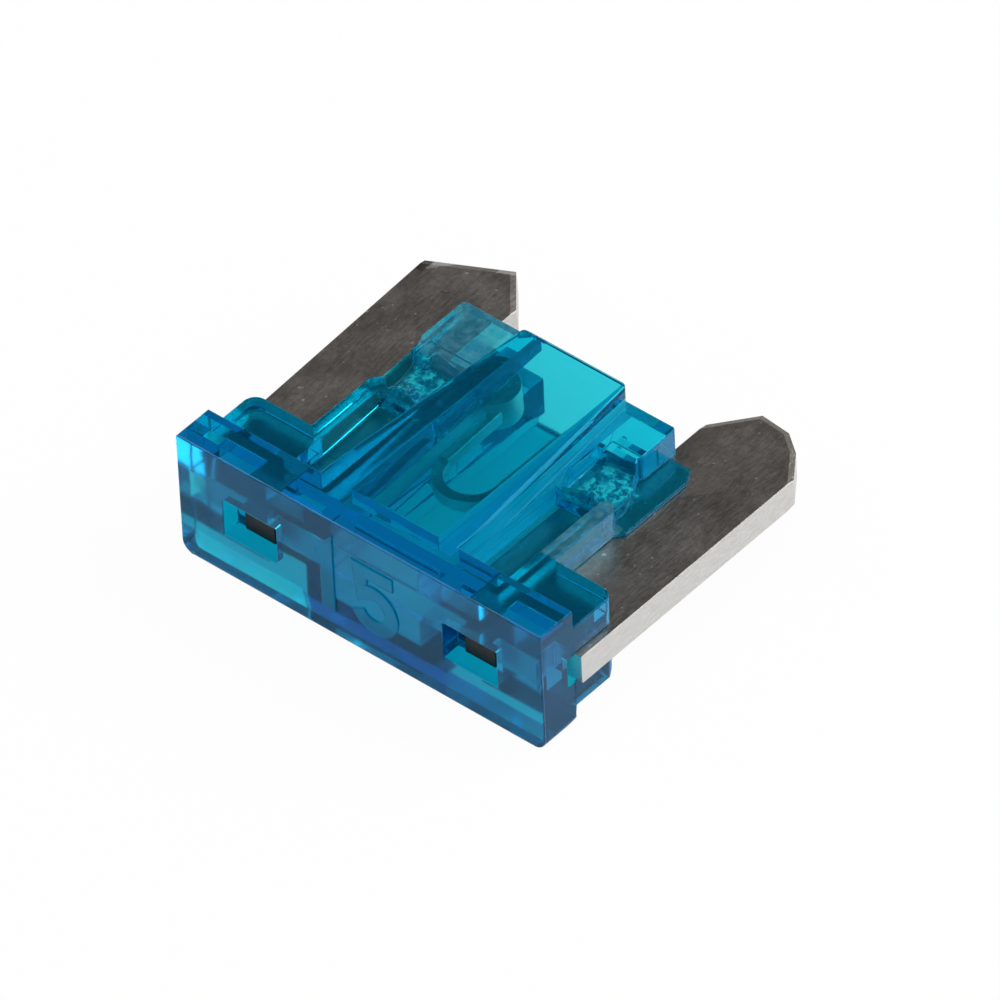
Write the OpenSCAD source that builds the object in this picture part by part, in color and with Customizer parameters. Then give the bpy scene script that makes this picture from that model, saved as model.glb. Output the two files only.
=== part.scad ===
// Low-profile blade fuse: a clear blue moulded housing staked onto a stamped two-blade element.
// Millimetres. The fuse lies on its flat side: X runs across the two blades, Y from the head to the
// blade tips and Z through the thickness. The origin is under the middle of the whole part.

/* [Head] */
// Width of the head bar, across both blades
head_w = 10.9; // [10.6:0.05:11.1]
// Thickness of the head bar and of the centre column
head_t = 3.54; // [3.4:0.02:4]
// Depth of the head bar, from its front face to its back face
head_d = 1.14; // [1:0.02:1.4]
// Radius along the lower end edges of the head bar
head_round = 0.32; // [0.1:0.02:0.4]
// Reach of the bevel along the lower back edge of the head bar
head_bevel = 0.5; // [0.3:0.02:0.6]

/* [Shoulder] */
// Distance from each end of the head bar in to the end of the lower step behind it
shoulder_inset = 0.03; // [0.01:0.01:0.15]
// Thickness of that step
shoulder_t = 2.42; // [2.2:0.02:2.6]
// Depth of that step behind the head bar
shoulder_d = 1.5; // [1.3:0.05:1.7]
// Radius of the step's back corners, seen from above
shoulder_round = 0.34; // [0.2:0.02:0.5]
// Reach of the bevel along the step's lower back edge
shoulder_bevel = 0.3; // [0.1:0.02:0.4]

/* [Centre column] */
// Length of the moulding, from the front face to its open end
body_l = 7.78; // [7.4:0.02:8]
// Distance that each side of the column draws in from the head bar to the open end
column_draw = 0.55; // [0.4:0.01:0.6]
// Wall beside the hollow at the open end
column_wall = 0.3; // [0.25:0.01:0.4]
// Wall above and below that hollow
hollow_wall = 0.46; // [0.36:0.02:0.6]
// Plastic left between the front face and the hollow
hollow_start = 1.32; // [1.2:0.02:1.5]
// Leg of the bevel along the column's long edges and its open end
column_bevel = 0.12; // [0.06:0.01:0.16]
// Leg of the bevel on the column's two far corners, seen from above
column_corner = 0.22; // [0.08:0.02:0.24]

/* [Guards] */
// Distance that each guard reaches out over its blade, from the blade's inner edge
guard_lap = 0.83; // [0.7:0.01:0.95]
// Distance that the left guard stands out past the column's open end
guard_past = 0.22; // [0:0.02:0.3]
// Distance that the right guard falls short of it
guard_short = 0.08; // [0:0.02:0.2]
// Distance that the worn end block of the right guard reaches out over its blade
guard_skim = 0.16; // [0.1:0.01:0.3]
// Thickness through the guards
guard_t = 2.42; // [2.2:0.02:2.6]
// Depth of the waist pressed into each guard's outer side
guard_waist = 0.28; // [0.1:0.02:0.4]
// Rim of the guard outside the sunk window beside the column
window_rim = 0.45; // [0.35:0.01:0.6]
// Distance from the far end of that window to the stake
window_back = 0.95; // [0.8:0.05:1.2]
// Plastic left between that window's floor and the blade
window_skin = 0.22; // [0.14:0.02:0.4]
// Reach of the thin flash over the blade, past the guard
flash_reach = 0.2; // [0.1:0.02:0.3]
// Thickness of that flash
flash_t = 0.1; // [0.06:0.01:0.14]

/* [Stakes] */
// Diameter of the plastic that fills the hole in each blade
stake_d = 0.8; // [0.6:0.05:0.9]
// Distance from each blade's inner edge in to the stake's middle
stake_in = 0.07; // [0:0.01:0.15]
// Distance from the column's open end back to each stake
stake_back = 2.33; // [2.2:0.01:2.5]
// Depth of the punch mark over each stake
stake_depth = 0.42; // [0.2:0.02:0.5]

/* [Test windows] */
// Distance from the line of each blade's inner edge out to the middle of its test window
test_out = 0.48; // [0.4:0.02:0.6]
// Width of a test window
test_w = 1.6; // [1.4:0.05:1.8]
// Height of a test window
test_h = 1.06; // [0.9:0.02:1.2]
// Depth of a test window
test_depth = 0.5; // [0.4:0.02:0.6]

/* [Blades] */
// Distance that each blade stands out past the end of the head bar
blade_past = 0.17; // [0.1:0.01:0.2]
// Distance between the inner edges of the two blades
blade_gap = 5.64; // [5.4:0.02:5.8]
// Thickness of the strip that the element is stamped from
strip_t = 0.8; // [0.7:0.02:0.86]
// Distance that the blades stand out past the column's open end
blade_reach = 2.16; // [2:0.02:2.5]
// Angle by which the left blade is bent up where it leaves the step
blade_lift = 3.4; // [0:0.1:4]
// Length of the tapered tip
tip_l = 1.25; // [1.1:0.05:1.5]
// Width of the flat end of the tip
tip_flat = 0.86; // [0.6:0.02:1.1]
// Offset of that flat end towards the middle of the fuse
tip_shift = 0.14; // [0:0.02:0.2]
// Distance from the flat end back to the extra corner at its outer side
tip_corner = 0.5; // [0.3:0.02:0.7]
// Distance that the blunt left tip falls short of the right one
tip_blunt = 0.07; // [0.02:0.01:0.3]
// Distance that the taper of the blunt tip starts nearer its end than the right one's
tip_late = 0.22; // [0:0.01:0.3]
// Distance that the taper starts nearer the end on the inner edge than on the outer one
tip_skew = 0.2; // [0:0.02:0.3]
// Width of the coined bevel round the tip
tip_coin_w = 0.14; // [0.1:0.02:0.3]
// Depth of that bevel below each face
tip_coin_t = 0.04; // [0.02:0.01:0.1]

/* [Element inside the housing] */
// Distance from the head bar's back face to the blades' head ends
strip_back = 0.06; // [0.02:0.01:0.12]
// Width of the tab behind each test window
tab_w = 0.9; // [0.8:0.02:1.2]
// Distance from the front face to the end of that tab
tab_y = 0.34; // [0.3:0.02:0.5]
// Length of the notch ahead of each blade's outer corner, open at the head's end
notch_l = 0.3; // [0.2:0.02:0.4]
// Reach of that notch into the head
notch_w = 0.5; // [0.3:0.05:0.8]
// Distance from the column's open end back to the plates that carry the link
plate_back = 1.16; // [1:0.02:1.3]
// Distance between the inner edges of those plates
plate_gap = 3; // [2.9:0.02:3.04]
// Depth to which the hollow's side walls cover those plates
plate_cover = 0.2; // [0.1:0.02:0.25]
// Distance that the right plate stands back from the hollow, except at the tab to the link
plate_clear = 0.6; // [0.4:0.05:0.7]
// Length of that tab
plate_tab = 0.7; // [0.4:0.05:0.9]
// Width of the fusible link
link_w = 0.28; // [0.22:0.01:0.32]
// Thickness of the fusible link
link_t = 0.32; // [0.24:0.02:0.4]
// Slot between the left plate and the first leg of the link
link_slot = 0.27; // [0.24:0.01:0.3]
// Distance from the closed end of that slot to the far end of the plates
slot_back = 0.34; // [0.2:0.02:0.4]
// Radius to the middle of the link's U bend
link_bend = 0.81; // [0.75:0.01:0.86]
// Distance from the centre of that U bend to the far end of the plates
link_leg = 2.32; // [2.1:0.02:2.5]
// Outer radius of the arch that starts the link
arch_r = 0.66; // [0.6:0.01:0.7]

/* [Fits] */
// Gap between the strip and the slot it slides into, on each face
slot_clear = 0.02; // [0.01:0.01:0.05]
// Gap between a stake and the rim of its hole
stake_clear = 0.03; // [0.02:0.01:0.06]

/* [Hidden] */
$fn = 48;
// Small overlap that lets a cut run clear through a face
through = 0.5;
// Half thicknesses about the strip's middle plane
head_half = head_t / 2;
guard_half = guard_t / 2;
shoulder_half = shoulder_t / 2;
strip_half = strip_t / 2;
slot_half = strip_half + slot_clear;
// Half widths of the head bar and of the step, and where that step ends
head_side = head_w / 2;
shoulder_side = head_side - shoulder_inset;
shoulder_end = head_d + shoulder_d;
// Outer and inner edges of each blade and of the plates inside the housing
blade_outer = head_side + blade_past;
blade_inner = blade_gap / 2;
plate_inner = plate_gap / 2;
// Ends of the blades, of their head ends, of the tabs and of the plates, from the front face
tip_y = body_l + blade_reach;
taper_y = tip_y - tip_l;
strip_y = head_d + strip_back;
plate_end = body_l - plate_back;
// Half widths of the hollow and of the column, and the turn of the column's sides away from Y
hollow_side = plate_inner - plate_cover;
column_tip = hollow_side + column_wall;
column_root = column_tip + column_draw;
column_l = body_l - head_d;
column_turn = atan(column_draw / column_l);
// Overlap of solids that are joined into one moulding
join = 0.1;
// Middle of a stake, and the middle of a test window and of the tab behind it
stake_x = blade_inner - stake_in;
stake_y = body_l - stake_back;
test_x = blade_inner + test_out;
// Outer side of a guard, that of the right guard's end block, and the ends of the two guards
guard_outer = blade_inner + guard_lap;
guard_outer_right = blade_inner + guard_skim;
guard_end = body_l + guard_past;
guard_end_right = body_l - guard_short;
// Leg of the bevel on a guard's far corner
guard_corner = 0.06;
// Inner edge, width, end and floor of the sunk window beside the column
window_in = column_root - join;
window_w = guard_outer - window_rim - window_in;
window_end = stake_y - window_back;
window_floor = slot_half + window_skin;
// Where the waist of a guard starts, is deepest and ends, and the step up to its clear end block
waist_start = window_end + 0.15;
waist_near = stake_y - 0.4;
waist_far = stake_y - 0.05;
block_start = stake_y + 1.05;
block_rise = 0.1;
block_step = 0.06;
// Width of the fillet of plastic between a guard's end and the column
guard_root = 0.3;
// Band of a guard that the flash grows from, its distance from the guard's end, and its slant
flash_root = 0.9;
flash_end = 0.3;
flash_slant = 0.2;
// Rise of the bevels along the lower back edges of the head bar and of the step
head_rise = 28;
shoulder_rise = 50;
// Middle, outer corner and inner corner of the flat end of a blade's tip, and its slant
flat_mid = (blade_inner + blade_outer) / 2 - tip_shift;
flat_out = flat_mid + tip_flat / 2;
flat_in = flat_mid - tip_flat / 2;
flat_slant = 0.08;
// Lap of the bent-up part of the left blade on the flat part
bend_lap = 0.05;
// Legs of the link: the first hangs from the arch, the second returns to the right plate
leg_one_x = -(plate_inner - link_slot - link_w / 2);
bend_x = leg_one_x + link_bend;
leg_two_x = bend_x + link_bend;
link_bend_y = plate_end - link_leg;
// Middle of the arch, the length of leg that it takes in, and the radius of the turn into the plate
arch_x = -plate_inner;
arch_leg = 0.75;
return_r = 0.34;
// Middle of the whole part along Y
middle_y = tip_y / 2;

// Mirrors its children to both sides of the fuse
module both_sides() {
    children();
    mirror([1, 0, 0]) children();
}

// Mirrors its children to both faces of the strip
module both_faces() {
    children();
    mirror([0, 0, 1]) children();
}

// Bends its children up about the line where the left blade leaves the step
module lifted() {
    translate([0, shoulder_end, 0]) rotate([blade_lift, 0, 0]) translate([0, -shoulder_end, 0])
        children();
}

// Plate of a given half thickness about the strip's middle plane
module slab(half) {
    translate([0, 0, -half]) linear_extrude(2 * half) children();
}

// Wedge that bevels a straight edge along Y, from y0 to y1, on the upper face at height z
module edge_cut(x, y0, y1, z, leg, turn = 0) {
    translate([x, y0, z]) rotate([0, 0, turn])
        translate([0, -through, 0]) rotate([0, 45, 0])
            translate([-leg / sqrt(2), 0, -leg / sqrt(2)])
                cube([leg * sqrt(2), y1 - y0 + 2 * through, leg * sqrt(2)]);
}

// Cut that bevels a lower back edge along X, from a line at y and z, rising at the given angle
module lower_cut(y, z, rise) {
    translate([-head_w, y, z]) rotate([rise, 0, 0])
        translate([0, 0, -head_t]) cube([2 * head_w, head_t, head_t]);
}

// Head bar: sharp upper ends, rounded lower ends and a bevel along the lower back edge
module head_bar() {
    lower = -head_half;
    r = head_round;
    difference() {
        translate([0, head_d, 0]) rotate([90, 0, 0]) linear_extrude(head_d) {
            translate([-head_side, lower + r]) square([head_w, head_t - r]);
            translate([-head_side + r, lower]) square([head_w - 2 * r, r + join]);
            for (side = [-1, 1]) translate([side * (head_side - r), lower + r]) circle(r);
        }
        lower_cut(head_d - head_bevel, lower, head_rise);
    }
}

// Step behind the head bar, with rounded back corners
module shoulder() {
    r = shoulder_round;
    start = head_d / 2;
    difference() {
        slab(shoulder_half) {
            translate([-shoulder_side, start]) square([2 * shoulder_side, shoulder_end - start - r]);
            translate([r - shoulder_side, start])
                square([2 * (shoulder_side - r), shoulder_end - start]);
            for (side = [-1, 1]) translate([side * (shoulder_side - r), shoulder_end - r]) circle(r);
        }
        lower_cut(shoulder_end - shoulder_bevel, -shoulder_half, shoulder_rise);
    }
}

// Centre column: its sides draw in towards the open end, and its long edges are bevelled
module column() {
    difference() {
        both_sides() slab(head_half) polygon([
            [0, head_d - join], [column_root, head_d - join], [column_root, head_d],
            [column_tip, body_l - column_corner], [column_tip - column_corner, body_l], [0, body_l]
        ]);
        both_faces() {
            both_sides()
                edge_cut(column_root, head_d + through, body_l, head_half, column_bevel, column_turn);
            translate([-column_root, body_l, head_half]) rotate([0, 0, -90])
                edge_cut(0, 0, 2 * column_root, 0, column_bevel);
        }
    }
}

// Guard over a blade's inner edge: waisted where the punch pressed it, whole at its end block, which
// reaches out to the given side
module guard(end, side) {
    slab(guard_half) polygon([
        [0, head_d], [guard_outer, head_d], [guard_outer, waist_start],
        [guard_outer - guard_waist, waist_near], [guard_outer - guard_waist, waist_far],
        [side - block_step, block_start - block_rise], [side, block_start],
        [side, end - guard_corner], [side - guard_corner, end],
        [column_tip - guard_root, end], [column_tip - guard_root, body_l - guard_root],
        [0, body_l - guard_root]
    ]);
}

// Thin flash that the punch squeezed out over the blade, on both faces
module flash(end) {
    reach = guard_outer + flash_reach;
    near = end - flash_end;
    both_faces() translate([0, 0, slot_half]) linear_extrude(flash_t) polygon([
        [guard_outer - flash_root, waist_start], [guard_outer, waist_start],
        [reach, waist_start + flash_slant], [reach, near - 2 * flash_slant],
        [guard_outer, near], [guard_outer - flash_root, near]
    ]);
}

// Sunk window beside the column, over the blade
module window_cut() {
    translate([window_in, head_d, window_floor])
        cube([window_w, window_end - head_d, guard_half]);
}

// One bite of the punch at a given place about the stake: a turned and tipped block, sunk in to a
// share of the mark's depth
module bite(x, y, turn, w, l, share) {
    translate([stake_x + x, stake_y + y, guard_half - stake_depth * share])
        rotate([turn / 5, -turn / 4, turn])
            translate([-w / 2, -l / 2, 0]) cube([w, l, 2 * guard_half]);
}

// Crushed punch mark over a stake: bites to different depths and a ramp up to the end block
module punch_cut() {
    ramp_w = 1.3;
    ramp_rise = 9;
    bite(0, 0, 0, w = 1.5, l = 1.1, share = 1);
    bite(-0.3, -0.35, 24, w = 0.9, l = 0.6, share = 0.8);
    bite(0.35, 0.3, -18, w = 1, l = 0.55, share = 0.7);
    bite(0.5, -0.3, 38, w = 0.7, l = 0.5, share = 0.55);
    bite(-0.2, 0.55, 9, w = 1.1, l = 0.45, share = 0.9);
    translate([stake_x - ramp_w / 2, stake_y, guard_half - stake_depth / 2]) rotate([ramp_rise, 0, 0])
        cube([ramp_w, block_start - stake_y, guard_half]);
}

// Half of the slot on the right of the middle, from a given distance on
module half_slot(from) {
    slab(slot_half) translate([0, from]) square([2 * blade_outer, guard_end - from + through]);
}

// Slot for the strip: open at the housing's far end and at both ends of the shoulder, and bent up
// with the left blade
module strip_slot() {
    near = strip_y - slot_clear;
    half_slot(near);
    lifted() mirror([1, 0, 0]) half_slot(shoulder_end - bend_lap);
    slab(slot_half) {
        translate([-2 * blade_outer, near]) square([2 * blade_outer, shoulder_end - near]);
        both_sides() {
            translate([test_x - tab_w / 2 - slot_clear, tab_y - slot_clear])
                square([tab_w + 2 * slot_clear, strip_y - tab_y + join]);
            translate([head_side - notch_w, strip_y - notch_l]) square([notch_w + through, notch_l]);
        }
    }
}

// Hollow round the link: open at the housing's far end
module link_hollow() {
    slab(head_half - hollow_wall)
        translate([-hollow_side, hollow_start])
            square([2 * hollow_side, guard_end - hollow_start + through]);
}

// Test window in the front face, in front of a blade's tab
module test_window() {
    translate([test_x - test_w / 2, -through, -test_h / 2])
        cube([test_w, through + test_depth, test_h]);
}

// Plastic pressed through the hole in a blade
module stake() {
    half = slot_half + join;
    translate([stake_x, stake_y, -half]) cylinder(d = stake_d, h = 2 * half);
}

module housing() color([0.02, 0.5, 0.72, 0.75]) placed() {
    difference() {
        union() {
            head_bar();
            shoulder();
            column();
            guard(guard_end_right, guard_outer_right);
            flash(guard_end_right);
            mirror([1, 0, 0]) guard(guard_end, guard_outer);
            lifted() mirror([1, 0, 0]) flash(guard_end);
        }
        strip_slot();
        link_hollow();
        both_sides() {
            both_faces() window_cut();
            both_faces() punch_cut();
            test_window();
        }
    }
    stake();
    lifted() mirror([1, 0, 0]) stake();
}

// Corners of a blade's tip, from the outer edge to the inner one
right_tip = [
    [blade_outer, taper_y],
    [blade_outer - (blade_outer - flat_out) / 2, tip_y - tip_corner],
    [flat_out, tip_y - flat_slant],
    [flat_in, tip_y],
    [blade_inner, taper_y + tip_skew]
];
left_tip = [
    [blade_outer, taper_y + tip_late],
    [flat_in, tip_y - tip_blunt],
    [blade_inner, taper_y + tip_skew]
];

// Wedge that coins one edge of a tip, from p to q with the metal on its left, on the upper face
module coin_cut(p, q) {
    run = q - p;
    slope = atan(tip_coin_t / tip_coin_w);
    translate([p[0], p[1], strip_half]) rotate([0, 0, atan2(run[1], run[0])])
        translate([-through, 0, -tip_coin_t]) rotate([slope, 0, 0])
            translate([0, -strip_t, 0]) cube([norm(run) + 2 * through, 2 * strip_t, strip_t]);
}

// One blade with the plate inside the housing and the tab at its head end: coined round its tip on
// both faces and pierced for the stake
module blade(tip, inner) {
    difference() {
        slab(strip_half) {
            polygon(concat(
                [[inner, strip_y], [blade_outer, strip_y]], tip,
                [[blade_inner, plate_end], [inner, plate_end]]
            ));
            translate([test_x - tab_w / 2, tab_y]) square([tab_w, strip_y - tab_y + through]);
        }
        both_faces() for (i = [0 : len(tip) - 2]) coin_cut(tip[i], tip[i + 1]);
        translate([stake_x, stake_y, -strip_t]) cylinder(d = stake_d + 2 * stake_clear, h = 2 * strip_t);
    }
}

// Right blade: its plate stands back from the hollow, apart from the tab to the link
module right_blade() {
    blade(right_tip, plate_inner + plate_clear);
    slab(strip_half) translate([plate_inner, plate_end - plate_tab])
        square([plate_clear + join, plate_tab]);
}

// Left blade: flat in the step, and bent up from the step's back face on
module left_blade() {
    bend_y = shoulder_end - bend_lap;
    intersection() {
        mirror([1, 0, 0]) blade(left_tip, plate_inner);
        slab(strip_t) translate([-2 * blade_outer, 0]) square([2 * blade_outer, shoulder_end]);
    }
    lifted() intersection() {
        mirror([1, 0, 0]) blade(left_tip, plate_inner);
        slab(strip_t) translate([-2 * blade_outer, bend_y]) square([2 * blade_outer, tip_y]);
    }
}

// Flat ring sector: the half of a ring on the side of the head, or away from it
module half_ring(x, y, r, w, towards_head) {
    turn = towards_head ? 180 : 0;
    translate([x, y]) rotate(turn) intersection() {
        difference() {
            circle(r + w / 2);
            circle(r - w / 2);
        }
        translate([-2 * r, 0]) square([4 * r, 2 * r]);
    }
}

// First leg of the thinned link, bent up with the left blade
module link_leg_one() {
    slab(link_t / 2) translate([leg_one_x - link_w / 2, link_bend_y - bend_lap])
        square([link_w, plate_end - link_bend_y + bend_lap]);
}

// Rest of the thinned link: U bend, second leg and the turn into the right plate
module link() {
    slab(link_t / 2) {
        half_ring(bend_x, link_bend_y, link_bend, link_w, true);
        translate([leg_two_x - link_w / 2, link_bend_y])
            square([link_w, plate_end - return_r - link_bend_y]);
        intersection() {
            half_ring(leg_two_x + return_r, plate_end - return_r, return_r, link_w, false);
            translate([0, plate_end - return_r]) square([leg_two_x + return_r, 2 * return_r]);
        }
        translate([leg_two_x + return_r, plate_end - link_w / 2])
            square([plate_inner + join - leg_two_x - return_r, link_w]);
    }
}

// Arch that joins the left plate to the first leg, as thick as the strip
module arch() {
    slab(strip_half) difference() {
        translate([arch_x, plate_end - join]) circle(arch_r);
        translate([-plate_inner, plate_end - link_leg]) square([link_slot, link_leg - slot_back]);
        translate([-plate_inner + link_slot / 2, plate_end - slot_back]) circle(link_slot / 2);
        translate([leg_one_x - link_w / 2, 0]) square([plate_gap, plate_end - arch_leg]);
    }
}

module fuse_element() color([0.52, 0.5, 0.48]) placed() {
    right_blade();
    left_blade();
    lifted() arch();
    lifted() link_leg_one();
    link();
}

// Moves the part from its front-face datum to its origin on the surface it lies on
module placed() {
    translate([0, -middle_y, head_half]) children();
}

housing();
fuse_element();
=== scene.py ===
"""Look of the low-profile blade fuse: clear blue moulding over a dull zinc element.

Metres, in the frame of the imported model: X across the two blades, Y from the head to the blade
tips, Z up through the thickness. Constants that give places, spans, depths, sizes and radii on the
fuse are in millimetres, and Y in them starts at the head's front face. Noise scales are per metre.
"""

import math

import bmesh
import bpy
from mathutils import Matrix, Vector


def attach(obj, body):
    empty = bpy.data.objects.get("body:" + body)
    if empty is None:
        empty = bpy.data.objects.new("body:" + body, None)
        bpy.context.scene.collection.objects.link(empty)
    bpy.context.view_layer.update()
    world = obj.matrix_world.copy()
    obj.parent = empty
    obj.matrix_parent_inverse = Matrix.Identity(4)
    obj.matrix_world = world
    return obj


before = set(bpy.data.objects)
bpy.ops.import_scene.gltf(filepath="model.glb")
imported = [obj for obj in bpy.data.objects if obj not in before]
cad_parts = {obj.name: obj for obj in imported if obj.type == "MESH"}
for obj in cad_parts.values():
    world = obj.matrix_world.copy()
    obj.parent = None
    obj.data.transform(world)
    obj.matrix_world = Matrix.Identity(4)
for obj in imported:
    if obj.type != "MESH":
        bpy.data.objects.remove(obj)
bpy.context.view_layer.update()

MM = 0.001
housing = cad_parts["housing"]
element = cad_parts["fuse_element"]

# Distance from the head's front face to the middle of the part, and the height of the strip
MIDDLE_Y = 4.97
STRIP_Z = 1.77

# Each span is its low end, its high end and the width over which it fades beyond them.
# Spans on the housing: the crushed stakes, the left guard's end block, the rim of the right window
STAKES_ACROSS = (2.3, 3.2, 0.2)
STAKES_ALONG = (4.9, 6.0, 0.25)
BLOCK_ACROSS = (-3.7, -1.9, 0.1)
BLOCK_ALONG = (6.3, 8.0, 0.3)
RIM_ACROSS = (3.22, 3.7, 0.03)
RIM_ALONG = (2.7, 4.9, 0.1)

# Right wall of the hollow and the slot's face beside it, which carry a painted highlight; heights
# are off the middle of the strip
HOLLOW_ALONG = (1.36, 7.7, 0.05)
WALL_ACROSS = (1.27, 1.34, 0.01)
WALL_OFF_STRIP = (0.44, 1.29, 0.02)
SLOT_ACROSS = (1.27, 1.62, 0.05)
SLOT_OFF_STRIP = (0.4, 0.43, 0.01)
SLOT_HIGHLIGHT_SHARE = 0.9

# The front face's own look ends between these depths behind it
FRONT_DEPTHS = (0.02, 0.06)

# Plastic: clear shader, milky shader and the volume behind both
PLASTIC_IOR = 1.53
HIGHLIGHT_LEVEL = 0.12
HIGHLIGHT_TINT = (0.05, 0.6, 1.0, 1.0)
CLEAR_TINT = (0.2, 0.95, 0.985, 1.0)
MILKY = (0.0, 0.26, 0.5, 1.0)
MILKY_WORN = (0.3, 0.62, 0.58, 1.0)
MILKY_CRUSHED = (0.02, 0.66, 0.74, 1.0)
# Pale milky colour of the painted highlight on the right wall of the hollow
MILKY_WALL_HIGHLIGHT = (0.6, 1.0, 1.0, 1.0)
FROST_SHARE = 0.45
DEPTH_TINT = (0.0, 0.895, 0.97, 1.0)
DEPTH_DENSITY = 3000.0

# Each pattern is a noise: its scale, detail and roughness. Each ramp is two levels of a pattern and
# what it gives at each, 0 and 1 if not named.
# Plastic: its patterns, their ramps, and how much each roughens or moves the surface
FACET_NOISE = (5200.0, 3.0, 0.65)
STREAK_NOISE = (9000.0, 2.0, 0.5)
STREAK_STRETCH = 0.04
SWIRL_NOISE = (700.0, 2.0, 0.5)
SINK_NOISE = (420.0, 2.0, 0.5)
CRUSHED_RAMP = (0.42, 0.6)
WORN_RAMP = (0.3, 0.7, 0.2, 0.5)
STREAK_RAMP = (0.25, 0.55, 0.8, 1.0)
SWIRL_ROUGH_RAMP = (0.3, 0.8, 0.03, 0.08)
FROST_ROUGH = 0.22
FRONT_ROUGH = 0.14
SWIRL_BUMP = 0.18
FACET_BUMP = 4.0
SINK_BUMP = 2.6
PLASTIC_BUMP_STRENGTH = 0.6
PLASTIC_BUMP_DEPTH = 0.04

# Zinc: colours of its faces and marks, and the share of each mark's colour where it is fullest
ZINC_BROWN = (0.37, 0.34, 0.31, 1.0)
ZINC_PALE = (0.46, 0.435, 0.405, 1.0)
ZINC_MOTTLE = (0.28, 0.255, 0.23, 1.0)
ZINC_SPECK = (0.85, 0.83, 0.8, 1.0)
ZINC_PIT = (0.13, 0.11, 0.10, 1.0)
ZINC_CHIP = (0.8, 0.79, 0.77, 1.0)
ZINC_BURR = (0.1, 0.09, 0.085, 1.0)
SHEARED_DULL = (0.55, 0.54, 0.52, 1.0)
SHEARED_BRIGHT = (0.86, 0.85, 0.83, 1.0)
# Painted shade on the test tabs' ends, deep in the front windows
TAB_END_PAINTED_SHADE = (0.05, 0.048, 0.045, 1.0)
SPECK_SHARE = 0.7
PIT_SHARE = 0.6
CHIP_SHARE = 0.9
BURR_SHARE = 0.7

# Zinc: its patterns, their ramps, and how much each roughens or moves the surface
GRAIN_NOISE = (16000.0, 3.0, 0.6)
GRAIN_STRETCH = 0.18
DULL_NOISE = (900.0, 3.0, 0.5)
MOTTLE_NOISE = (8000.0, 3.0, 0.7)
SPECK_NOISE = (6400.0, 1.0, 0.5)
PIT_NOISE = (4600.0, 2.0, 0.5)
MOTTLE_RAMP = (0.35, 0.65, 0.0, 0.55)
SPECK_RAMP = (0.72, 0.77)
PIT_RAMP = (0.28, 0.22)
BURR_RAMP = (0.3, 0.5, 0.4, 1.0)
DULL_ROUGH_RAMP = (0.25, 0.8, 0.34, 0.42)
GRAIN_ROUGH = 0.2
GRAIN_BUMP = 0.5
MOTTLE_BUMP = 0.3
PIT_BUMP = -0.3
ZINC_BUMP_STRENGTH = 0.35
ZINC_BUMP_DEPTH = 0.03

# Left blade's blunt tip: a point on its slanting end, the direction from there into the metal, and
# the spans and depths of its marks
TIP_X = -5.62
TIP_Y = 8.91
TIP_INWARD_X = 0.438
TIP_INWARD_Y = -0.899
TIP_RAGGED = 0.1
LONG_CHIP_ACROSS = (-5.36, -4.86, 0.04)
LONG_CHIP_DEPTHS = (0.36, 0.4)
LONG_CHIP_TAPER = 0.6
SMALL_CHIP_ACROSS = (-3.98, -3.6, 0.04)
SMALL_CHIP_DEPTHS = (0.22, 0.26)
BURR_ACROSS = (-5.7, -5.44, 0.06)
BURR_ALONG = (8.55, 8.95, 0.06)

# A face counts as a sheared edge as its normal's height falls from the first to the second
SHEARED_RAMP = (0.85, 0.3)

# The test tabs' ends take painted shade between these depths behind the front face
TAB_END_DEPTHS = (0.7, 1.0)


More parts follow.
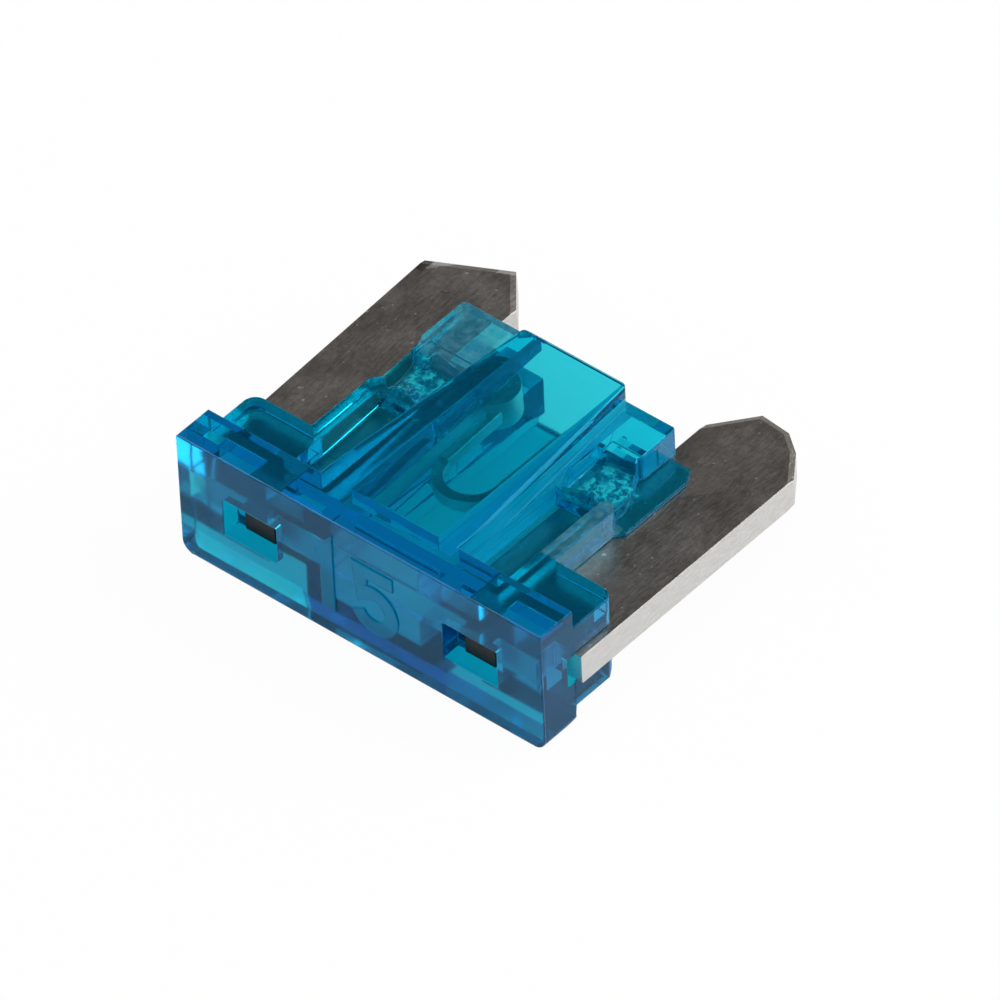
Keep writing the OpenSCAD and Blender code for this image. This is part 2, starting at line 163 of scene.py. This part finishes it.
# Node helpers
class Graph:
    """Small helper that adds nodes to one material or world and links them."""

    def __init__(self, owner):
        owner.use_nodes = True
        self.tree = owner.node_tree
        self.tree.nodes.clear()

    def node(self, kind, settings=None, **inputs):
        made = self.tree.nodes.new(kind)
        for name, value in (settings or {}).items():
            setattr(made, name, value)
        for name, value in inputs.items():
            self.feed(made.inputs[name.replace("_", " ")], value)
        return made

    def feed(self, socket, value):
        if isinstance(value, bpy.types.NodeSocket):
            self.tree.links.new(value, socket)
        else:
            socket.default_value = value

    def math(self, operation, a, b=0.0):
        made = self.tree.nodes.new("ShaderNodeMath")
        made.operation = operation
        self.feed(made.inputs[0], a)
        self.feed(made.inputs[1], b)
        return made.outputs[0]

    def plus(self, a, b):
        return self.math("ADD", a, b)

    def minus(self, a, b):
        return self.math("SUBTRACT", a, b)

    def times(self, a, b):
        return self.math("MULTIPLY", a, b)

    def larger(self, a, b):
        return self.math("MAXIMUM", a, b)

    def size_of(self, a):
        return self.math("ABSOLUTE", a)

    def ramp(self, value, low, high, to_low=0.0, to_high=1.0):
        """Smooth step from one level to another as a value goes from low to high."""
        made = self.tree.nodes.new("ShaderNodeMapRange")
        made.interpolation_type = "SMOOTHSTEP"
        self.feed(made.inputs["Value"], value)
        self.feed(made.inputs["From Min"], low)
        self.feed(made.inputs["From Max"], high)
        self.feed(made.inputs["To Min"], to_low)
        self.feed(made.inputs["To Max"], to_high)
        return made.outputs[0]

    def mix(self, factor, a, b):
        """Mix of two colours; the colour sockets of the Mix node are found by their numbers."""
        made = self.tree.nodes.new("ShaderNodeMix")
        made.data_type = "RGBA"
        self.feed(made.inputs["Factor"], factor)
        self.feed(made.inputs[6], a)
        self.feed(made.inputs[7], b)
        return made.outputs[2]

    def noise(self, vector, scale, detail, rough):
        made = self.node("ShaderNodeTexNoise", {"noise_dimensions": "3D"}, Vector=vector)
        made.inputs["Scale"].default_value = scale
        made.inputs["Detail"].default_value = detail
        made.inputs["Roughness"].default_value = rough
        return made.outputs[0]

    def stretched(self, vector, along_y):
        """Coordinates that draw a pattern out along Y."""
        made = self.node("ShaderNodeMapping", Vector=vector)
        made.inputs["Scale"].default_value = (1.0, along_y, 1.0)
        return made.outputs[0]

    def bump(self, height, strength, depth):
        made = self.node("ShaderNodeBump", Height=height)
        made.inputs["Strength"].default_value = strength
        made.inputs["Distance"].default_value = depth * MM
        return made.outputs[0]

    def mix_shaders(self, share, first, second):
        made = self.node("ShaderNodeMixShader")
        self.feed(made.inputs[0], share)
        self.feed(made.inputs[1], first.outputs[0])
        self.feed(made.inputs[2], second.outputs[0])
        return made.outputs[0]

    def within(self, value, span):
        """1 where a length lies in a span of millimetres, with soft ends."""
        low, high, soft = span
        low_side = self.ramp(value, (low - soft) * MM, low * MM)
        high_side = self.ramp(value, (high + soft) * MM, high * MM)
        return self.times(low_side, high_side)

    def nearer(self, value, depths):
        """1 where a length is less than the first of two in millimetres, 0 past the second."""
        near, far = depths
        return self.ramp(value, far * MM, near * MM)

    def all_of(self, *masks):
        """Product of several masks."""
        result = masks[0]
        for mask in masks[1:]:
            result = self.times(result, mask)
        return result


def grey(level):
    return (level, level, level, 1.0)


# Materials
def plastic_material(name, haze):
    """Clear blue moulded plastic: glossy, but frosted where the punch crushed it.

    haze is the share of a milky shader that stands in for the light that the real plastic scatters.
    """
    mat = bpy.data.materials.new(name)
    g = Graph(mat)
    place = g.node("ShaderNodeTexCoord").outputs["Object"]
    split = g.node("ShaderNodeSeparateXYZ", Vector=place)
    x = split.outputs[0]
    across = g.size_of(x)
    y = g.plus(split.outputs[1], MIDDLE_Y * MM)
    off_strip = g.size_of(g.minus(split.outputs[2], STRIP_Z * MM))

    # Crushed plastic round the stakes in small facets, and duller plastic on the block and the rim
    stakes = g.all_of(g.within(across, STAKES_ACROSS), g.within(y, STAKES_ALONG))
    block = g.all_of(g.within(x, BLOCK_ACROSS), g.within(y, BLOCK_ALONG))
    rim = g.all_of(g.within(x, RIM_ACROSS), g.within(y, RIM_ALONG))
    patches = g.noise(place, *FACET_NOISE)
    facets = g.size_of(g.minus(patches, 0.5))
    crushed = g.times(stakes, g.ramp(patches, *CRUSHED_RAMP))
    worn = g.times(g.larger(block, rim), g.ramp(patches, *WORN_RAMP))
    frost = g.larger(crushed, worn)

    # Painted highlight: a pale milky strip on the right wall of the hollow, broken into streaks
    # along Y, and on the slot's face beside it
    streaks = g.noise(g.stretched(place, STREAK_STRETCH), *STREAK_NOISE)
    slot_face = g.all_of(
        g.within(x, SLOT_ACROSS),
        g.within(y, HOLLOW_ALONG),
        g.within(off_strip, SLOT_OFF_STRIP),
    )
    wall_highlight = g.all_of(
        g.within(x, WALL_ACROSS),
        g.within(y, HOLLOW_ALONG),
        g.within(off_strip, WALL_OFF_STRIP),
        g.ramp(streaks, *STREAK_RAMP),
    )
    wall = g.larger(wall_highlight, g.times(slot_face, SLOT_HIGHLIGHT_SHARE))

    # Slow waves of the moulded faces, deepest on the front face, which is a little dull
    swirl = g.noise(place, *SWIRL_NOISE)
    sink = g.noise(place, *SINK_NOISE)
    front = g.nearer(y, FRONT_DEPTHS)
    rough = g.plus(g.ramp(swirl, *SWIRL_ROUGH_RAMP), g.times(frost, FROST_ROUGH))
    rough = g.plus(rough, g.times(front, FRONT_ROUGH))
    height = g.plus(g.times(swirl, SWIRL_BUMP), g.times(stakes, g.times(facets, FACET_BUMP)))
    height = g.plus(height, g.times(front, g.times(sink, SINK_BUMP)))
    normal = g.bump(height, PLASTIC_BUMP_STRENGTH, PLASTIC_BUMP_DEPTH)

    clear = g.node("ShaderNodeBsdfPrincipled", Roughness=rough, Normal=normal)
    clear.inputs["Base Color"].default_value = CLEAR_TINT
    clear.inputs["Transmission Weight"].default_value = 1.0
    colour = g.mix(worn, MILKY, MILKY_WORN)
    colour = g.mix(crushed, colour, MILKY_CRUSHED)
    # Painted highlight: the right wall of the hollow and the slot's face turn pale milky
    colour = g.mix(wall, colour, MILKY_WALL_HIGHLIGHT)
    milky = g.node("ShaderNodeBsdfPrincipled", Base_Color=colour, Roughness=rough, Normal=normal)
    for shader in (clear, milky):
        shader.inputs["IOR"].default_value = PLASTIC_IOR
        shader.inputs["Specular IOR Level"].default_value = HIGHLIGHT_LEVEL
        shader.inputs["Specular Tint"].default_value = HIGHLIGHT_TINT
    # Where the painted highlight lies on the right wall, the surface is wholly milky
    share = g.larger(wall, g.plus(haze, g.times(frost, FROST_SHARE)))
    absorb = g.node("ShaderNodeVolumeAbsorption")
    absorb.inputs["Color"].default_value = DEPTH_TINT
    absorb.inputs["Density"].default_value = DEPTH_DENSITY
    surface = g.mix_shaders(share, clear, milky)
    g.node("ShaderNodeOutputMaterial", Surface=surface, Volume=absorb.outputs[0])
    return mat


def zinc_material():
    """Dull tin-plated zinc strip: brownish grey faces with specks, pits and a fine grain.

    Sheared edges are lighter, and the left blade's tip has its chips and burr.
    """
    mat = bpy.data.materials.new("zinc_alloy")
    g = Graph(mat)
    place = g.node("ShaderNodeTexCoord").outputs["Object"]
    split = g.node("ShaderNodeSeparateXYZ", Vector=place)
    x = split.outputs[0]
    y = g.plus(split.outputs[1], MIDDLE_Y * MM)
    normal = g.node("ShaderNodeNewGeometry").outputs["Normal"]
    up = g.node("ShaderNodeSeparateXYZ", Vector=normal).outputs[2]
    side = g.ramp(g.size_of(up), *SHEARED_RAMP)

    # Fine rolled grain along the blade, larger dull patches, and sharp specks
    grain = g.noise(g.stretched(place, GRAIN_STRETCH), *GRAIN_NOISE)
    patches = g.noise(place, *DULL_NOISE)
    mottle = g.noise(place, *MOTTLE_NOISE)
    specks = g.ramp(g.noise(place, *SPECK_NOISE), *SPECK_RAMP)
    pits = g.ramp(g.noise(place, *PIT_NOISE), *PIT_RAMP)
    face = g.mix(patches, ZINC_BROWN, ZINC_PALE)
    face = g.mix(g.ramp(mottle, *MOTTLE_RAMP), face, ZINC_MOTTLE)
    face = g.mix(g.times(specks, SPECK_SHARE), face, ZINC_SPECK)
    face = g.mix(g.times(pits, PIT_SHARE), face, ZINC_PIT)

    # Blunt left tip: bright chips along its slanting end, and a dark burr on its outer corner
    past_x = g.times(g.minus(x, TIP_X * MM), TIP_INWARD_X)
    past_y = g.times(g.minus(y, TIP_Y * MM), TIP_INWARD_Y)
    inset = g.plus(g.plus(past_x, past_y), g.times(mottle, TIP_RAGGED * MM))
    along_chip = g.minus(x, LONG_CHIP_ACROSS[0] * MM)
    wedge = g.plus(inset, g.times(along_chip, LONG_CHIP_TAPER))
    long_chip = g.all_of(g.within(x, LONG_CHIP_ACROSS), g.nearer(wedge, LONG_CHIP_DEPTHS))
    small_chip = g.all_of(g.within(x, SMALL_CHIP_ACROSS), g.nearer(inset, SMALL_CHIP_DEPTHS))
    burr = g.all_of(
        g.within(x, BURR_ACROSS),
        g.within(y, BURR_ALONG),
        g.ramp(mottle, *BURR_RAMP),
    )
    face = g.mix(g.times(g.larger(long_chip, small_chip), CHIP_SHARE), face, ZINC_CHIP)
    face = g.mix(g.times(burr, BURR_SHARE), face, ZINC_BURR)

    # Sheared edges, with painted shade on the ends of the test tabs
    edge = g.mix(grain, SHEARED_DULL, SHEARED_BRIGHT)
    edge = g.mix(g.nearer(y, TAB_END_DEPTHS), edge, TAB_END_PAINTED_SHADE)
    colour = g.mix(side, face, edge)

    fine = g.times(g.minus(grain, 0.5), GRAIN_ROUGH)
    rough = g.plus(g.ramp(patches, *DULL_ROUGH_RAMP), fine)
    low_relief = g.plus(g.times(mottle, MOTTLE_BUMP), g.times(pits, PIT_BUMP))
    height = g.plus(g.times(grain, GRAIN_BUMP), low_relief)
    relief = g.bump(height, ZINC_BUMP_STRENGTH, ZINC_BUMP_DEPTH)
    shader = g.node("ShaderNodeBsdfPrincipled", Base_Color=colour, Roughness=rough, Normal=relief)
    shader.inputs["Metallic"].default_value = 1.0
    g.node("ShaderNodeOutputMaterial", Surface=shader.outputs[0])
    return mat


FLOOR_GREY = 0.8
GLOW_TO_CAMERA = 0.96
GLOW_REFLECTED = 0.1
GLOW_THROUGH = 0.3


def floor_material():
    """Pale floor that keeps a soft shadow.

    It glows white, almost wholly to the camera and in part in reflections and through the plastic.
    """
    mat = bpy.data.materials.new("floor_white")
    g = Graph(mat)
    path = g.node("ShaderNodeLightPath").outputs
    to_camera = g.times(path["Is Camera Ray"], GLOW_TO_CAMERA)
    reflected = g.times(path["Is Glossy Ray"], GLOW_REFLECTED)
    through = g.times(path["Is Transmission Ray"], GLOW_THROUGH)
    seen = g.plus(to_camera, g.plus(reflected, through))
    paper = g.node("ShaderNodeBsdfDiffuse")
    paper.inputs["Color"].default_value = grey(FLOOR_GREY)
    glow = g.node("ShaderNodeEmission")
    glow.inputs["Color"].default_value = grey(1.0)
    glow.inputs["Strength"].default_value = 1.0
    g.node("ShaderNodeOutputMaterial", Surface=g.mix_shaders(seen, paper, glow))
    return mat


# Pieces
WELD_GAP = 0.0001
SHARP_ANGLE = 35
EDGE_STEPS = 2


def soften(piece, radius):
    """Small radius along every sharp edge, as moulding and stamping leave it."""
    weld = piece.modifiers.new("weld", "WELD")
    weld.merge_threshold = WELD_GAP * MM
    bevel = piece.modifiers.new("edge_radius", "BEVEL")
    bevel.width = radius * MM
    bevel.segments = EDGE_STEPS
    bevel.limit_method = "ANGLE"
    bevel.angle_limit = math.radians(SHARP_ANGLE)
    bevel.use_clamp_overlap = False
    bevel.miter_outer = "MITER_SHARP"


def ribbon(path, width):
    """Closed outline of a stroke of even width along a path, with mitred corners."""
    sides = ([], [])
    for i, (px, pz) in enumerate(path):
        before = path[max(i - 1, 0)]
        after = path[min(i + 1, len(path) - 1)]
        turn_in = Vector((px - before[0], pz - before[1]))
        turn_out = Vector((after[0] - px, after[1] - pz))
        along_in = (turn_in if turn_in.length else turn_out).normalized()
        along_out = (turn_out if turn_out.length else turn_in).normalized()
        along = (along_in + along_out).normalized()
        reach = width / 2 / along.dot(along_in)
        for side, sign in zip(sides, (1, -1)):
            side.append((px - sign * along.y * reach, pz + sign * along.x * reach))
    return sides[0] + sides[1][::-1]


def raised(name, outlines, proud, sunk, material):
    """Figures that stand proud of the front face: each outline in X and Z becomes a solid."""
    bm = bmesh.new()
    for outline in outlines:
        rims = [
            [
                bm.verts.new((px * MM, (y - MIDDLE_Y) * MM, (STRIP_Z + pz) * MM))
                for px, pz in outline
            ]
            for y in (-proud, sunk)
        ]
        bm.faces.new(rims[0])
        bm.faces.new(rims[1][::-1])
        for i in range(len(outline)):
            j = (i + 1) % len(outline)
            bm.faces.new((rims[0][j], rims[0][i], rims[1][i], rims[1][j]))
    bmesh.ops.recalc_face_normals(bm, faces=bm.faces)
    data = bpy.data.meshes.new(name)
    bm.to_mesh(data)
    bm.free()
    data.materials.append(material)
    piece = bpy.data.objects.new(name, data)
    bpy.context.scene.collection.objects.link(piece)
    return piece


# Plain rating number 15, two low figures in the middle of the front face
FIGURE_H = 2.0
STROKE = 0.4
FIGURE_PROUD = 0.04
FIGURE_SUNK = 0.02
ONE_X = -0.95
ONE_FLAG_W = 0.22
ONE_FLAG_H = 0.28
FIVE_X = 0.45
FIVE_BAR_RIGHT = 0.6
FIVE_STEM = 0.42
BOWL_R = 0.52
BOWL_START = 130
BOWL_SWEEP = 290
BOWL_STEPS = 18
bottom = -FIGURE_H / 2
top = FIGURE_H / 2 - STROKE / 2
bowl_z = bottom + STROKE / 2 + BOWL_R
turns = [math.radians(BOWL_START - BOWL_SWEEP * i / BOWL_STEPS) for i in range(BOWL_STEPS + 1)]
bowl = [(FIVE_X + BOWL_R * math.cos(a), bowl_z + BOWL_R * math.sin(a)) for a in turns]
five = [(FIVE_X + FIVE_BAR_RIGHT, top), (FIVE_X - FIVE_STEM, top), *bowl]
one = [(ONE_X - ONE_FLAG_W, top - ONE_FLAG_H), (ONE_X, top), (ONE_X, bottom)]
figures = [ribbon(one, STROKE), ribbon(five, STROKE)]

HOUSING_HAZE = 0.1
FIGURE_HAZE = 0.35
HOUSING_RADIUS = 0.03
ELEMENT_RADIUS = 0.02
FIGURE_RADIUS = 0.015
plastic = plastic_material("clear_blue_plastic_look", HOUSING_HAZE)
figure_plastic = plastic_material("raised_figure_look", FIGURE_HAZE)
zinc = zinc_material()
for node, mat in ((housing, plastic), (element, zinc)):
    for slot in node.material_slots:
        slot.material = mat
soften(housing, HOUSING_RADIUS)
soften(element, ELEMENT_RADIUS)
number = raised("rating_number", figures, FIGURE_PROUD, FIGURE_SUNK, figure_plastic)
soften(number, FIGURE_RADIUS)
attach(number, "root")

# Stage: a floor just under the fuse
FLOOR_HALF = 0.6
FLOOR_DROP = 0.01
signs = ((-1, -1), (1, -1), (1, 1), (-1, 1))
mesh = bpy.data.meshes.new("floor")
mesh.from_pydata([(a * FLOOR_HALF, b * FLOOR_HALF, 0) for a, b in signs], [], [(0, 1, 2, 3)])
mesh.materials.append(floor_material())
floor = bpy.data.objects.new("floor", mesh)
floor.location.z = -FLOOR_DROP * MM
bpy.context.scene.collection.objects.link(floor)

# Studio surround: white all round, with a dark flag above and beyond the blades, on their left
FLAG = Vector((-0.495, 0.54, 0.681)).normalized()
FLAG_GREY = 0.05
FLAG_RAMP = (0.70, 0.97)
world = bpy.context.scene.world or bpy.data.worlds.new("studio")
bpy.context.scene.world = world
g = Graph(world)
to_camera = g.node("ShaderNodeLightPath").outputs["Is Camera Ray"]
facing = g.node("ShaderNodeVectorMath", {"operation": "DOT_PRODUCT"})
g.feed(facing.inputs[0], g.node("ShaderNodeTexCoord").outputs["Generated"])
facing.inputs[1].default_value = FLAG
flag = g.ramp(facing.outputs["Value"], *FLAG_RAMP)
surround = g.mix(flag, grey(1.0), grey(FLAG_GREY))
back = g.node("ShaderNodeBackground", Color=g.mix(to_camera, surround, grey(1.0)))
back.inputs["Strength"].default_value = 1.0
g.node("ShaderNodeOutputWorld", Surface=back.outputs[0])

# One soft lamp above and beyond the blades, on their right, aimed at the fuse
KEY_PLACE = Vector((0.13, 0.14, 0.18))
KEY_SIDE = 0.2
KEY_WATTS = 0.36
lamp_data = bpy.data.lights.new("key_right", "AREA")
lamp_data.shape = "SQUARE"
lamp_data.size = KEY_SIDE
lamp_data.energy = KEY_WATTS
lamp = bpy.data.objects.new("key_right", lamp_data)
lamp.location = KEY_PLACE
lamp.rotation_mode = "QUATERNION"
lamp.rotation_quaternion = (-KEY_PLACE).to_track_quat("-Z", "Y")
bpy.context.scene.collection.objects.link(lamp)

# Camera: fitted to the fuse's edges in the photograph
AZIMUTH = 42.486
ELEVATION = 42.9029
ROLL = -2.93186
DISTANCE = 0.4
TARGET_Y = 4.0
PIXELS = 1000.0
FOCAL_PIXELS = 17520.43
TARGET_PIXEL = (473.746, 498.892)
SENSOR = 36.0
CLIP_NEAR = 0.01
CLIP_FAR = 10.0

azimuth, elevation, roll = map(math.radians, (AZIMUTH, ELEVATION, ROLL))
back_axis = Vector(
    (
        math.sin(azimuth) * math.cos(elevation),
        -math.cos(azimuth) * math.cos(elevation),
        math.sin(elevation),
    )
)
level = Vector((0, 0, 1)).cross(back_axis).normalized()
upward = back_axis.cross(level)
right_axis = math.cos(roll) * level + math.sin(roll) * upward
up_axis = math.cos(roll) * upward - math.sin(roll) * level
target = Vector((0.0, (TARGET_Y - MIDDLE_Y) * MM, STRIP_Z * MM))
camera_data = bpy.data.cameras.new("camera")
camera_data.sensor_width = SENSOR
camera_data.lens = FOCAL_PIXELS * SENSOR / PIXELS
camera_data.shift_x = 0.5 - TARGET_PIXEL[0] / PIXELS
camera_data.shift_y = TARGET_PIXEL[1] / PIXELS - 0.5
camera_data.clip_start = CLIP_NEAR
camera_data.clip_end = CLIP_FAR
camera = bpy.data.objects.new("camera", camera_data)
turn = Matrix((right_axis, up_axis, back_axis)).transposed()
camera.matrix_world = Matrix.Translation(target + back_axis * DISTANCE) @ turn.to_4x4()
bpy.context.scene.collection.objects.link(camera)
bpy.context.scene.camera = camera

bpy.context.scene.view_settings.view_transform = "Standard"
